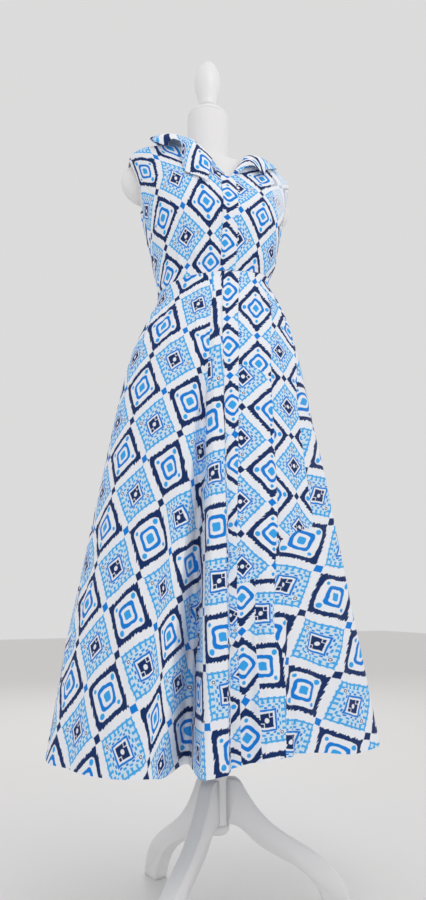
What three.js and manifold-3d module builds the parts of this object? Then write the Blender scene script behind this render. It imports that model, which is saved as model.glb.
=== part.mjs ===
// Sleeveless shirt dress on a limbless dress form with a three-legged wooden stand.
// Millimetres, +Z up, the front faces -Y, origin on the floor under the middle of the pole.
// Angles round the body: 0 is the +X side, -90 the centre front, 90 the centre back.

import * as THREE from 'three';
import * as BufferGeometryUtils from 'three/addons/utils/BufferGeometryUtils.js';
import Module from 'manifold-3d';

const wasm = await Module();
wasm.setup();

const DEG = Math.PI / 180;

// Cloth
const WALL = 2;                 // cotton drawn as a wall of this thickness
const GAP = 0.4;                // between pieces that are sewn or rest together
const WAIST_Z = 1198;           // waist seam at the centre front
const WAIST_TILT = 0.24;        // the seam climbs towards +X by this much for each mm
const TILT_FADE_Z = 1330;       // the bodice is level again from here up
const HEM_Z = 284;              // mean height of the hem
const HEM_TILT = 0.02;
const BLEND_BELOW_WAIST = 48;   // the skirt leaves the waist line over this height

// Neck and armholes
const V_POINT_Z = 1408;         // where the two fronts meet
const V_POINT_X = 3;
const NECK_SIDE_X = 67;         // where the neckline meets the shoulder seam
const NECK_SIDE_Z = 1511;
const BACK_NECK_DIP = 9;
const ARMHOLE_BOTTOM_Z = 1362;
const ARMHOLE_TOP_Z = 1484;
const ARMHOLE_FRONT = 6;        // degrees cut away in front of the side
const ARMHOLE_BACK = 36;        // degrees cut away behind the side

// Placket: a band on the right front's edge that laps over the left front
const PLACKET_WIDTH = 32;
const PLACKET_LAP = 10;

// Stand
const POLE_RADIUS = 22;
const POLE_TOP_Z = 904.6;
const POLE_BOTTOM_Z = 148;
const POLE_CAP_HEIGHT = 15;
const LEG_THICKNESS = 28;
const LEG_ANGLES = [-15, 105, 225];

const paint = { color: 0xe9e9e7, roughness: 0.45, metalness: 0 };
const jersey = { color: 0xe6e5e3, roughness: 0.75, metalness: 0 };
const cotton = { color: 0x9db9dd, roughness: 0.7, metalness: 0 };

// The form: half width, depth in front of and behind its middle, and where the middle lies.
const TORSO_ROUNDNESS = 2.3;
const torsoRows = [
  { z: 905, half: 158, front: 103, back: 110, mid: 0 },
  { z: 912, half: 164, front: 108, back: 116, mid: 0 },
  { z: 935, half: 167, front: 111, back: 119, mid: 0 },
  { z: 1000, half: 168, front: 112, back: 122, mid: 0 },
  { z: 1080, half: 143, front: 101, back: 103, mid: 0 },
  { z: 1140, half: 118, front: 89, back: 85, mid: 0 },
  { z: 1198, half: 110, front: 87, back: 79, mid: 0 },
  { z: 1250, half: 121, front: 95, back: 83, mid: 0 },
  { z: 1330, half: 144, front: 112, back: 92, mid: 0 },
  { z: 1390, half: 160, front: 104, back: 98, mid: 2 },
  { z: 1430, half: 172, front: 94, back: 96, mid: 5 },
  { z: 1462, half: 180, front: 85, back: 90, mid: 9 },
  { z: 1484, half: 179, front: 77, back: 82, mid: 13 },
  { z: 1492, half: 158, front: 69, back: 74, mid: 17 },
  { z: 1498, half: 128, front: 62, back: 66, mid: 20 },
  { z: 1504, half: 97, front: 56, back: 58, mid: 23 },
  { z: 1511, half: 68, front: 51, back: 52, mid: 26 },
  { z: 1521, half: 51, front: 48, back: 48, mid: 27 },
  { z: 1540, half: 47, front: 47, back: 47, mid: 27 },
  { z: 1640, half: 47, front: 47, back: 47, mid: 27 },
];

// How far the bodice's outer face stands off the form.
const SEAT = WALL + 1.5;
const easeRows = [
  { z: 1160, off: 9 },
  { z: 1198, off: 8 },
  { z: 1238, off: 13 },
  { z: 1290, off: 10 },
  { z: 1331, off: 8 },
  { z: 1390, off: 5.5 },
  { z: 1430, off: SEAT },
  { z: 1478, off: SEAT + 2.9 },
  { z: 1500, off: SEAT + 0.3 },
  { z: 1640, off: SEAT },
];

// The skirt's outer face without its folds.
const skirtRows = [
  { z: 1198, half: 120, front: 98, back: 88 },
  { z: 1150, half: 138, front: 110, back: 104 },
  { z: 1108, half: 157, front: 122, back: 121 },
  { z: 1072, half: 171, front: 133, back: 135 },
  { z: 1000, half: 189, front: 150, back: 152 },
  { z: 850, half: 216, front: 172, back: 176 },
  { z: 660, half: 246, front: 196, back: 201 },
  { z: 470, half: 280, front: 220, back: 226 },
  { z: 328, half: 303, front: 236, back: 238 },
  { z: 240, half: 316, front: 245, back: 247 },
];

// Folds of the skirt. Each runs from its angle at the start height to its angle at the hem and
// stands out (in, below zero) by this much at the hem. Crest and flanks are widths in degrees at
// the start and at the hem: half of the crest, the flank towards -angle and the one towards +angle.
const foldRows = [
  { name: 'valleyByPlacket', top: -111, hem: -115.4, start: 1010, out: -92,
    crest: [0.4, 0.8], low: [3, 6], high: [3, 4.4] },
  { name: 'ridgeByPlacket', top: -103, hem: -106.2, start: 1190, out: 30,
    crest: [2, 2.6], low: [1.6, 4], high: [1.6, 2.2] },
  { name: 'broadRightRidge', top: -80, hem: -88, start: 1000, out: 16,
    crest: [2, 3.5], low: [4, 5], high: [3, 3.2] },
  { name: 'rightHollow', top: -58, hem: -66, start: 900, out: -12,
    crest: [0, 0], low: [8, 12], high: [8, 12] },
  { name: 'rightSideRidge', top: -32, hem: -38, start: 860, out: 11,
    crest: [0, 0], low: [10, 15], high: [10, 15] },
  { name: 'leftBulge', top: -138, hem: -135, start: 820, out: 9,
    crest: [0, 2], low: [12, 16], high: [8, 11] },
  { name: 'leftHollow', top: -160, hem: -162, start: 780, out: -10,
    crest: [0, 0], low: [8, 12], high: [8, 13] },
  { name: 'backHollowA', top: 26, hem: 22, start: 900, out: -24,
    crest: [0, 0], low: [9, 12], high: [8, 11] },
  { name: 'backRidgeA', top: 44, hem: 42, start: 960, out: 16,
    crest: [0, 1], low: [8, 11], high: [8, 12] },
  { name: 'backHollowB', top: 66, hem: 64, start: 840, out: -26,
    crest: [0, 0], low: [8, 11], high: [9, 12] },
  { name: 'backRidgeB', top: 88, hem: 87, start: 1010, out: 20,
    crest: [1, 2], low: [9, 12], high: [8, 11] },
  { name: 'backHollowC', top: 108, hem: 110, start: 930, out: -30,
    crest: [0, 0], low: [8, 11], high: [9, 12] },
  { name: 'backRidgeC', top: 130, hem: 133, start: 800, out: 15,
    crest: [0, 1], low: [9, 12], high: [8, 11] },
  { name: 'backHollowD', top: 152, hem: 156, start: 890, out: -20,
    crest: [0, 0], low: [8, 11], high: [8, 12] },
];

// The placket's free edge on the skirt: it hangs plumb while the skirt widens.
const placketEdgeRows = [
  { z: 1198, angle: -80 },
  { z: 1070, angle: -89 },
  { z: 780, angle: -95.2 },
  { z: 550, angle: -98.1 },
  { z: 375, angle: -98.4 },
  { z: 240, angle: -98.6 },
];

// The collar's two halves, from the front end to the centre back: how far along the neckline,
// the angle from the side and the height of its outer edge, how late it falls towards that edge,
// how high the edge and the middle stand off the bodice, and how high the roll by the neck stands.
const collarLeaf = {
  right: [
    { at: 0.26, edge: -75, z: 1380, fall: 1, lift: 3, dome: 0, roll: 3 },
    { at: 0.34, edge: -69, z: 1391, fall: 1, lift: 3, dome: 1, roll: 6 },
    { at: 0.42, edge: -60, z: 1404, fall: 1.1, lift: 3, dome: 2, roll: 8 },
    { at: 0.48, edge: -60, z: 1438, fall: 1.4, lift: 5, dome: 3, roll: 9 },
    { at: 0.53, edge: -62, z: 1468, fall: 1.8, lift: 14, dome: 2, roll: 9 },
    { at: 0.58, edge: -57, z: 1473, fall: 2.2, lift: 20, dome: 2, roll: 8 },
    { at: 0.63, edge: -50, z: 1470, fall: 2.4, lift: 20, dome: 2, roll: 8 },
    { at: 0.68, edge: -42, z: 1460, fall: 2.4, lift: 13, dome: 3, roll: 8 },
    { at: 0.72, edge: -32, z: 1484, fall: 2.4, lift: 8, dome: 3, roll: 8 },
    { at: 0.77, edge: -10, z: 1502, fall: 2.2, lift: 5, dome: 3, roll: 8 },
    { at: 0.83, edge: 20, z: 1502, fall: 2, lift: 5, dome: 4, roll: 9 },
    { at: 0.9, edge: 56, z: 1488, fall: 1.6, lift: 5, dome: 4, roll: 10 },
    { at: 1, edge: 90, z: 1458, fall: 1.2, lift: 4, dome: 4, roll: 12 },
  ],
  left: [
    { at: 0.1, edge: -84, z: 1420, fall: 1, lift: 5, dome: 1, roll: 2 },
    { at: 0.2, edge: -79, z: 1441, fall: 1, lift: 10, dome: 2, roll: 4 },
    { at: 0.3, edge: -73, z: 1447, fall: 1.1, lift: 12, dome: 3, roll: 6 },
    { at: 0.42, edge: -64, z: 1437, fall: 1.4, lift: 8, dome: 4, roll: 8 },
    { at: 0.52, edge: -55, z: 1470, fall: 2, lift: 6, dome: 4, roll: 9 },
    { at: 0.62, edge: -26, z: 1499, fall: 2.4, lift: 5, dome: 4, roll: 9 },
    { at: 0.72, edge: 14, z: 1502, fall: 2.2, lift: 5, dome: 4, roll: 9 },
    { at: 0.88, edge: 56, z: 1488, fall: 1.6, lift: 5, dome: 4, roll: 10 },
    { at: 1, edge: 90, z: 1458, fall: 1.2, lift: 4, dome: 4, roll: 12 },
  ],
};

// Small helpers

const mix = (a, b, t) => a + (b - a) * t;
const clamp01 = (t) => Math.min(1, Math.max(0, t));
const smooth = (t) => clamp01(t) ** 2 * (3 - 2 * clamp01(t));
const spread = (count) => Array.from({ length: count }, (_, i) => i / (count - 1));
const between = (a, b, count) => spread(count).map((t) => mix(a, b, t));
const power = (v, p) => Math.sign(v) * Math.abs(v) ** p;

// A value read from a table by height, on a soft curve through its rows.
function fromRows(rows, key, by, column) {
  const up = rows[0][by] < rows[rows.length - 1][by];
  const list = up ? rows : [...rows].reverse();
  const last = list.length - 1;
  let i = 0;
  while (i < last - 1 && key > list[i + 1][by]) i += 1;
  const before = list[Math.max(0, i - 1)];
  const low = list[i];
  const high = list[i + 1];
  const after = list[Math.min(last, i + 2)];
  const span = high[by] - low[by];
  const t = clamp01((key - low[by]) / span);
  const slopeLow = (high[column] - before[column]) / (high[by] - before[by]) * span;
  const slopeHigh = (after[column] - low[column]) / (after[by] - low[by]) * span;
  return (2 * t ** 3 - 3 * t ** 2 + 1) * low[column] + (t ** 3 - 2 * t ** 2 + t) * slopeLow
    + (3 * t ** 2 - 2 * t ** 3) * high[column] + (t ** 3 - t ** 2) * slopeHigh;
}

function addMesh(group, name, geometry, finish) {
  const mesh = new THREE.Mesh(geometry, new THREE.MeshStandardMaterial(finish));
  mesh.name = name;
  group.add(mesh);
  return mesh;
}

// Outward normal of a surface point(angle, height), from two short steps on it.
function normalOf(surface, angle, z) {
  const stepAngle = 0.4;
  const stepZ = 1;
  const along = surface(angle + stepAngle, z).sub(surface(angle - stepAngle, z));
  const up = surface(angle, z + stepZ).sub(surface(angle, z - stepZ));
  return along.cross(up).normalize();
}

// A wall from a grid of outer points and the normals there: rows run upwards, columns to +angle.
function wallGeometry(points, normals, thickness) {
  const rows = points.length;
  const cols = points[0].length;
  const position = [];
  for (const offset of [0, thickness]) {
    points.forEach((row, r) => row.forEach((point, c) => {
      position.push(...point.clone().addScaledVector(normals[r][c], -offset).toArray());
    }));
  }
  const outer = (r, c) => r * cols + c;
  const inner = (r, c) => rows * cols + r * cols + c;
  const index = [];
  const quad = (a, b, c, d) => index.push(a, b, c, a, c, d);
  for (let r = 0; r < rows - 1; r += 1) {
    for (let c = 0; c < cols - 1; c += 1) {
      quad(outer(r, c), outer(r, c + 1), outer(r + 1, c + 1), outer(r + 1, c));
      quad(inner(r, c), inner(r + 1, c), inner(r + 1, c + 1), inner(r, c + 1));
    }
    quad(outer(r, 0), outer(r + 1, 0), inner(r + 1, 0), inner(r, 0));
    quad(outer(r, cols - 1), inner(r, cols - 1), inner(r + 1, cols - 1), outer(r + 1, cols - 1));
  }
  for (let c = 0; c < cols - 1; c += 1) {
    quad(outer(0, c), inner(0, c), inner(0, c + 1), outer(0, c + 1));
    quad(outer(rows - 1, c), outer(rows - 1, c + 1), inner(rows - 1, c + 1), inner(rows - 1, c));
  }
  const geometry = new THREE.BufferGeometry();
  geometry.setAttribute('position', new THREE.Float32BufferAttribute(position, 3));
  geometry.setIndex(index);
  geometry.computeVertexNormals();
  return geometry;
}

// A panel of cloth on a surface: anglesAt gives the angles of its columns at each height.
function panelGeometry(surface, heights, anglesAt, lift = 0) {
  const points = [];
  const normals = [];
  for (const z of heights) {
    const angles = anglesAt(z);
    const rowNormals = angles.map((angle) => normalOf(surface, angle, z));
    normals.push(rowNormals);
    points.push(angles.map((angle, i) => surface(angle, z).addScaledVector(rowNormals[i], lift)));
  }
  return wallGeometry(points, normals, WALL);
}

// Solids joined or cut with manifold-3d

function toSolid(geometry) {
  const bare = geometry.clone();
  bare.deleteAttribute('normal');
  bare.deleteAttribute('uv');
  const merged = BufferGeometryUtils.mergeVertices(bare, 1e-4);
  return new wasm.Manifold(new wasm.Mesh({
    numProp: 3,
    vertProperties: new Float32Array(merged.attributes.position.array),
    triVerts: new Uint32Array(merged.index.array),
  }));
}

function toGeometry(solid) {
  const mesh = solid.getMesh();
  const geometry = new THREE.BufferGeometry();
  geometry.setAttribute('position', new THREE.BufferAttribute(mesh.vertProperties, 3));
  geometry.setIndex(new THREE.BufferAttribute(mesh.triVerts, 1));
  geometry.computeVertexNormals();
  return geometry;
}

// The form

function torsoPoint(angle, z) {
  const row = (column) => fromRows(torsoRows, z, 'z', column);
  const c = power(Math.cos(angle * DEG), 2 / TORSO_ROUNDNESS);
  const s = power(Math.sin(angle * DEG), 2 / TORSO_ROUNDNESS);
  const depth = s < 0 ? row('front') : row('back');
  return new THREE.Vector3(row('half') * c, row('mid') + depth * s, z);
}

// Rings from the bottom up, closed by a flat fan at both ends.
function ringSolidGeometry(rings) {
  const sides = rings[0].length;
  const position = rings.flat().flatMap((point) => point.toArray());
  const index = [];
  for (let r = 0; r < rings.length - 1; r += 1) {
    for (let s = 0; s < sides; s += 1) {
      const next = (s + 1) % sides;
      const a = r * sides + s;
      const b = r * sides + next;
      index.push(a, b, b + sides, a, b + sides, a + sides);
    }
  }
  const addCap = (start, faceUp) => {
    const centre = position.length / 3;
    const middle = new THREE.Vector3();
    for (let s = 0; s < sides; s += 1) {
      middle.add(new THREE.Vector3().fromArray(position, (start + s) * 3));
    }
    position.push(...middle.divideScalar(sides).toArray());
    for (let s = 0; s < sides; s += 1) {
      const next = (s + 1) % sides;
      if (faceUp) index.push(start + s, start + next, centre);
      else index.push(start + next, start + s, centre);
    }
  };
  addCap(0, false);
  addCap((rings.length - 1) * sides, true);
  const geometry = new THREE.BufferGeometry();
  geometry.setAttribute('position', new THREE.Float32BufferAttribute(position, 3));
  geometry.setIndex(index);
  geometry.computeVertexNormals();
  return geometry;
}

// The form and the bodice share these levels, so that their faces lie alike at the shoulders.
const shoulderLevels = [1426, 1444, 1460, 1473, 1482, 1488, 1493, 1498, 1502, 1505.5, 1508.5];

function torsoGeometry() {
  const lower = [905, 912, 945, 1005, 1060, 1110, 1150, 1198, 1246, 1290, 1332, 1380];
  const heights = [...lower, ...shoulderLevels, 1514, 1523, 1538, 1640];
  const sides = 32;
  const rings = heights.map((z) => Array.from({ length: sides }, (_, i) => torsoPoint(i * 360 / sides, z)));
  const shoulderCap = { x: 150, y: 25, z: 1434, radii: [51, 27, 49] };
  const body = [1, -1].reduce((solid, side) => {
    const dome = new THREE.SphereGeometry(1, 16, 8);
    dome.rotateX(90 * DEG);
    dome.scale(...shoulderCap.radii);
    dome.translate(side * shoulderCap.x, shoulderCap.y, shoulderCap.z);
    return solid.add(toSolid(dome));
  }, toSolid(ringSolidGeometry(rings)));
  return toGeometry(body);
}

// Turned pieces: a profile of [radius, height] pairs that starts and ends on the axis.
function turnedGeometry(profile, sides = 24) {
  const outline = profile.map(([radius, z]) => new THREE.Vector2(radius, z));
  const geometry = new THREE.LatheGeometry(outline, sides);
  geometry.rotateX(90 * DEG);
  return geometry;
}

function buildForm(group) {
  addMesh(group, 'form_torso', torsoGeometry(), jersey);

  const neckY = 27;
  const capZ = 1640.4;
  const capHeight = 30;
  const knobHeight = 128;
  const cap = turnedGeometry([[0, 0], [46, 0], [47.5, 3], [47, 7], [42, 13], [33, 20], [25, 26],
    [22, capHeight], [0, capHeight]]);
  addMesh(group, 'form_neck_cap', cap, paint).position.set(0, neckY, capZ);

  const knob = turnedGeometry([[0, 0], [21, 0], [21, 9], [22.5, 20], [27, 36], [30.5, 52], [31.5, 68],
    [30, 86], [25.5, 104], [18, 118], [9, 126], [0, knobHeight]]);
  addMesh(group, 'form_knob', knob, paint).position.set(0, neckY, capZ + capHeight + GAP);

  const pole = turnedGeometry([[0, POLE_BOTTOM_Z], [POLE_RADIUS, POLE_BOTTOM_Z],
    [POLE_RADIUS, POLE_TOP_Z], [0, POLE_TOP_Z]]);
  addMesh(group, 'stand_pole', pole, paint);

  const foot = turnedGeometry([[0, 0], [19, 0], [22.5, 4], [23.5, 9], [23, POLE_CAP_HEIGHT],
    [0, POLE_CAP_HEIGHT]]);
  addMesh(group, 'stand_pole_cap', foot, paint).position.z = POLE_BOTTOM_Z - GAP - POLE_CAP_HEIGHT;
}

// A leg is a board cut to an S: radius from the pole's axis, height above the floor.
function legGeometry() {
  const outline = new THREE.Shape();
  outline.moveTo(12, 149);
  outline.lineTo(24, 149);
  outline.bezierCurveTo(48, 146, 56, 124, 84, 107);
  outline.bezierCurveTo(128, 82, 150, 76, 170, 52);
  outline.bezierCurveTo(184, 36, 191, 20, 196, 0);
  outline.lineTo(240, 0);
  outline.bezierCurveTo(238, 32, 226, 58, 204, 76);
  outline.bezierCurveTo(178, 98, 152, 108, 118, 131);
  outline.bezierCurveTo(86, 152, 66, 182, 52, 206);
  outline.bezierCurveTo(46, 218, 40, 224, 30, 224);
  outline.lineTo(12, 224);
  outline.closePath();
  const board = new THREE.ExtrudeGeometry(outline, {
    depth: LEG_THICKNESS - 4,
    bevelEnabled: true,
    bevelThickness: 2,
    bevelSize: 2,
    bevelOffset: -2,
    bevelSegments: 1,
    curveSegments: 7,
  });
  board.translate(0, 0, -(LEG_THICKNESS - 4) / 2);
  board.rotateX(90 * DEG);
  const socket = new THREE.CylinderGeometry(POLE_RADIUS + GAP, POLE_RADIUS + GAP, 300, 24);
  socket.rotateX(90 * DEG);
  socket.translate(0, 0, 150);
  return toGeometry(toSolid(board).subtract(toSolid(socket)));
}

function buildStandLegs(group) {
  LEG_ANGLES.forEach((angle, i) => {
    addMesh(group, `stand_leg_${i + 1}`, legGeometry(), paint).rotation.z = angle * DEG;
  });
}

// The bodice

function waistShift(x, nominalZ) {
  const fade = clamp01((TILT_FADE_Z - nominalZ) / (TILT_FADE_Z - WAIST_Z)) ** 1.4;
  return WAIST_TILT * x * fade;
}

function bodicePoint(angle, nominalZ) {
  const x = fromRows(torsoRows, nominalZ, 'z', 'half') * Math.cos(angle * DEG);
  const z = nominalZ + waistShift(x, nominalZ);
  const point = torsoPoint(angle, z);
  const normal = normalOf(torsoPoint, angle, z);
  return point.addScaledVector(normal, fromRows(easeRows, nominalZ, 'z', 'off'));
}

// The angle, from the side, at which the bodice reaches a distance x from the middle.
function angleAt(x, z) {
  const half = fromRows(torsoRows, z, 'z', 'half') + WALL;
  const reach = Math.min(1, Math.max(-1, x / half));
  return Math.acos(power(reach, TORSO_ROUNDNESS / 2)) / DEG;
}

function neckX(z) {
  return mix(V_POINT_X, NECK_SIDE_X, clamp01((z - V_POINT_Z) / (NECK_SIDE_Z - V_POINT_Z)));
}

function armholeCut(z, depth) {
  const s = (z - ARMHOLE_BOTTOM_Z) / (ARMHOLE_TOP_Z - ARMHOLE_BOTTOM_Z);
  if (s <= 0 || s >= 1) return 0;
  return depth * Math.sin(Math.PI * s ** 0.9) ** 0.7;
}

const seamDegrees = (z) => GAP / 2 / (fromRows(torsoRows, z, 'z', 'half') * DEG);

const chestLevels = [1214, 1234, 1262, 1292, 1322, 1350, 1362, 1374, 1390, V_POINT_Z];
const bodiceHeights = [WAIST_Z + 0.3, ...chestLevels, ...shoulderLevels];

// Columns of a front, from its middle edge to the side, as degrees from the side. The first two
// strips lie by the placket, and higher up the columns are even.
function frontColumns(z, innerX, lapWidth) {
  const inner = z > V_POINT_Z ? neckX(z) : innerX;
  const outer = armholeCut(z, ARMHOLE_FRONT) + seamDegrees(z);
  const angleFrom = (distance) => Math.max(outer, angleAt(inner + distance, z));
  const [edge, half, lap] = [GAP / 2, lapWidth / 2, lapWidth].map(angleFrom);
  const lapped = [edge, half, ...between(lap, outer, 10)];
  const even = between(edge, outer, lapped.length);
  return lapped.map((angle, i) => mix(angle, even[i], smooth((z - V_POINT_Z) / 50)));
}

const leftFrontAngles = (z) => frontColumns(z, V_POINT_X, PLACKET_LAP).map((angle) => -angle);

const rightFrontAngles = (z) => frontColumns(z, -V_POINT_X, PLACKET_WIDTH - PLACKET_LAP)
  .map((angle) => angle - 180).reverse();

function backAngles(z) {
  const cut = armholeCut(z, ARMHOLE_BACK) + seamDegrees(z);
  return between(cut, 180 - cut, 17);
}

function backPoint(angle, z) {
  const dip = BACK_NECK_DIP * Math.sin(angle * DEG) ** 2 * smooth((z - 1484) / (NECK_SIDE_Z - 1484));
  return bodicePoint(angle, z - dip);
}

function buildBodice(group) {
  addMesh(group, 'bodice_front_left', panelGeometry(bodicePoint, bodiceHeights, leftFrontAngles), cotton);
  addMesh(group, 'bodice_front_right', panelGeometry(bodicePoint, bodiceHeights, rightFrontAngles), cotton);
  addMesh(group, 'bodice_back', panelGeometry(backPoint, bodiceHeights, backAngles), cotton);
}

// The skirt

function foldAt(angle, z) {
  let out = 0;
  for (const fold of foldRows) {
    const grown = clamp01((fold.start - z) / (fold.start - HEM_Z));
    const centre = mix(fold.top, fold.hem, grown);
    const [crest, low, high] = ['crest', 'low', 'high'].map((key) => mix(...fold[key], grown));
    const fromLow = smooth((angle - centre + crest + low) / low);
    const fromHigh = smooth((centre + crest + high - angle) / high);
    out += fold.out * grown * fromLow * fromHigh;
  }
  return out;
}

function hemShift(angle, x) {
  const rise = 22 * Math.cos(clamp01(Math.abs(angle + 84) / 34) * Math.PI / 2) ** 2;
  return HEM_TILT * x + rise;
}

function skirtPoint(angle, nominalZ) {
  const row = (column) => fromRows(skirtRows, nominalZ, 'z', column);
  const c = Math.cos(angle * DEG);
  const s = Math.sin(angle * DEG);
  const depth = s < 0 ? row('front') : row('back');
  const half = row('half');
  const ring = new THREE.Vector3(half * c, depth * s, nominalZ);
  const down = clamp01((WAIST_Z - nominalZ) / (WAIST_Z - HEM_Z));
  ring.z += waistShift(ring.x, WAIST_Z) * (1 - down) ** 2 + hemShift(angle, ring.x) * down ** 1.5;
  const outward = new THREE.Vector3(c / half, s / depth, 0).normalize();
  ring.addScaledVector(outward, foldAt(angle, nominalZ));
  const seamPoint = bodicePoint(angle, WAIST_Z);
  seamPoint.z -= WAIST_Z - nominalZ;
  return seamPoint.lerp(ring, smooth((WAIST_Z - nominalZ) / BLEND_BELOW_WAIST));
}

const skirtHeights = [HEM_Z, 340, 400, 462, 524, 586, 648, 710, 772, 832, 890, 945, 995, 1040, 1080,
  1112, 1138, 1158, 1174, 1188, WAIST_Z - 0.3];

const skirtReach = (z) => (fromRows(skirtRows, z, 'z', 'half') + fromRows(skirtRows, z, 'z', 'front')) / 2;
const placketEdge = (z) => fromRows(placketEdgeRows, z, 'z', 'angle');
const meetAngle = (z) => placketEdge(z) - PLACKET_LAP / (skirtReach(z) * DEG);

// The angle reached by walking round the cloth from one angle towards -angle.
function walkAlong(surface, z, from, distance) {
  const stepAngle = 0.1;
  let angle = from;
  let walked = 0;
  let last = surface(angle, z);
  while (walked < distance) {
    angle -= stepAngle;
    const here = surface(angle, z);
    walked += here.distanceTo(last);
    last = here;
  }
  return angle;
}

// Columns of the placket and of what lies under it, each the same walk from the last.
function placketAngles(z) {
  const under = PLACKET_WIDTH - PLACKET_LAP;
  const columns = [placketEdge(z), meetAngle(z)];
  const steps = 4;
  for (let i = 0; i < steps; i += 1) columns.push(walkAlong(skirtPoint, z, columns[i + 1], under / steps));
  return columns.reverse();
}

function skirtRightAngles(z) {
  const seam = GAP / 2 / (skirtReach(z) * DEG);
  const band = placketAngles(z).slice(0, -1);
  const meet = band.pop() - seam;
  const valley = fromRows([{ z: 240, a: -123 }, { z: WAIST_Z, a: -118 }], z, 'z', 'a');
  const side = between(-180 + seam, valley, 12);
  const middle = between(valley, band[0], 13).slice(1);
  return [...side, ...middle, ...band.slice(1), meet];
}

function skirtLeftAngles(z) {
  const seam = GAP / 2 / (skirtReach(z) * DEG);
  const near = placketEdge(z);
  const far = near + 24;
  return [meetAngle(z) + seam, ...between(near, far, 12), ...between(far, -seam, 12).slice(1)];
}

function skirtBackAngles(z) {
  const seam = GAP / 2 / (skirtReach(z) * DEG);
  return between(seam, 180 - seam, 35);
}

function buildSkirt(group) {
  addMesh(group, 'skirt_front_right', panelGeometry(skirtPoint, skirtHeights, skirtRightAngles), cotton);
  addMesh(group, 'skirt_front_left', panelGeometry(skirtPoint, skirtHeights, skirtLeftAngles), cotton);
  addMesh(group, 'skirt_back', panelGeometry(skirtPoint, skirtHeights, skirtBackAngles), cotton);
}

// The placket lies on the fronts' own points, moved out by the wall and the gap.
function buildPlacket(group) {
  const clearOfSeam = 1.6;
  const lift = WALL + GAP;
  const bodiceBand = [WAIST_Z + clearOfSeam, ...chestLevels.slice(0, -1), V_POINT_Z - 1];
  const under = PLACKET_WIDTH - PLACKET_LAP;
  const bodiceColumns = [V_POINT_X + PLACKET_LAP, V_POINT_X + PLACKET_LAP / 2, V_POINT_X,
    V_POINT_X - under / 2, V_POINT_X - under].reverse();
  addMesh(group, 'placket_bodice', panelGeometry(bodicePoint, bodiceBand,
    (z) => bodiceColumns.map((x) => -angleAt(x, z)), lift), cotton);
  const skirtBand = [...skirtHeights.slice(0, -1), WAIST_Z - clearOfSeam];
  addMesh(group, 'placket_skirt', panelGeometry(skirtPoint, skirtBand, placketAngles, lift), cotton);
}

// The collar

// A point of the neckline, from the V (0) over the shoulder seam (0.6) to the centre back (1).
function necklineAt(t) {
  const shoulder = 0.6;
  if (t < shoulder) {
    const z = mix(V_POINT_Z, NECK_SIDE_Z, t / shoulder);
    return { angle: -angleAt(neckX(z), z), z };
  }
  const angle = 90 * (t - shoulder) / (1 - shoulder);
  return { angle, z: NECK_SIDE_Z - BACK_NECK_DIP * Math.sin(angle * DEG) ** 2 };
}

function collarRow(side, t, acrossList) {
  const rows = collarLeaf[side > 0 ? 'left' : 'right'];
  const at = mix(rows[0].at, 1, t);
  const value = (column) => fromRows(rows, at, 'at', column);
  const neck = necklineAt(at);
  return acrossList.map((across) => {
    const angle = mix(neck.angle, value('edge'), across);
    const z = mix(neck.z, value('z'), across ** value('fall'));
    const rise = Math.sin(clamp01(across / 0.3) * Math.PI / 2) * (1 - smooth((across - 0.3) / 0.7));
    const lift = WALL + GAP + 2.1 + value('roll') * rise + value('dome') * Math.sin(Math.PI * across) ** 1.3
      + (value('lift') - WALL - GAP) * smooth(across);
    const point = bodicePoint(angle, z);
    point.addScaledVector(normalOf(bodicePoint, angle, z), lift);
    if (side < 0) point.x *= -1;
    return point;
  });
}

function buildCollar(group) {
  const across = spread(9);
  const half = spread(19);
  const right = half.map((t) => collarRow(-1, t, across));
  const left = half.slice(0, -1).reverse().map((t) => collarRow(1, t, across));
  const points = [...right, ...left].reverse();
  const normals = points.map((row, r) => row.map((point, c) => {
    const before = points[Math.max(0, r - 1)][c];
    const after = points[Math.min(points.length - 1, r + 1)][c];
    const inner = row[Math.max(0, c - 1)];
    const outer = row[Math.min(row.length - 1, c + 1)];
    const along = after.clone().sub(before);
    const out = outer.clone().sub(inner);
    return out.cross(along).normalize();
  }));
  addMesh(group, 'collar', wallGeometry(points, normals, WALL), cotton);
}

const dressOnForm = new THREE.Group();
buildForm(dressOnForm);
buildStandLegs(dressOnForm);
buildBodice(dressOnForm);
buildSkirt(dressOnForm);
buildPlacket(dressOnForm);
buildCollar(dressOnForm);

export default dressOnForm;
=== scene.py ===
import math
from functools import partial

import bpy
import numpy as np
from mathutils import Matrix, Vector


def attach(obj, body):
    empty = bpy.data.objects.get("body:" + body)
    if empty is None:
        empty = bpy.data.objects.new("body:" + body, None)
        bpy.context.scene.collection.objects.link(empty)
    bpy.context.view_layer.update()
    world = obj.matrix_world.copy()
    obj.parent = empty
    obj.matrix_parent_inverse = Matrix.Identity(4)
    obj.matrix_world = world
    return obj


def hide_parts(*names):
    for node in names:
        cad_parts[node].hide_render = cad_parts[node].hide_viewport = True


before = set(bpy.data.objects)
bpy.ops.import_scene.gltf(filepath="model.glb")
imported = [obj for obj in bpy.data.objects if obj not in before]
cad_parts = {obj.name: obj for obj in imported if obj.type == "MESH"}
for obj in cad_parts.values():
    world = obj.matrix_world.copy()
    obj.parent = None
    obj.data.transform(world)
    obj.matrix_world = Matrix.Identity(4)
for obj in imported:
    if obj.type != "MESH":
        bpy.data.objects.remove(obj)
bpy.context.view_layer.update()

photoCamera = {
    "frameHeight": 900,      # the photo's height in pixels
    "focal": 676.0,          # focal length in those pixels
    "azimuth": -20.0,        # degrees round the form, from its front
    "distance": 1.35,        # metres from the pole, level
    "height": 0.54,          # metres above the floor
    "tilt": 12.7,            # degrees up
    "roll": 0.4,
    "pushRight": 1.0,        # pixels
}


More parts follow.
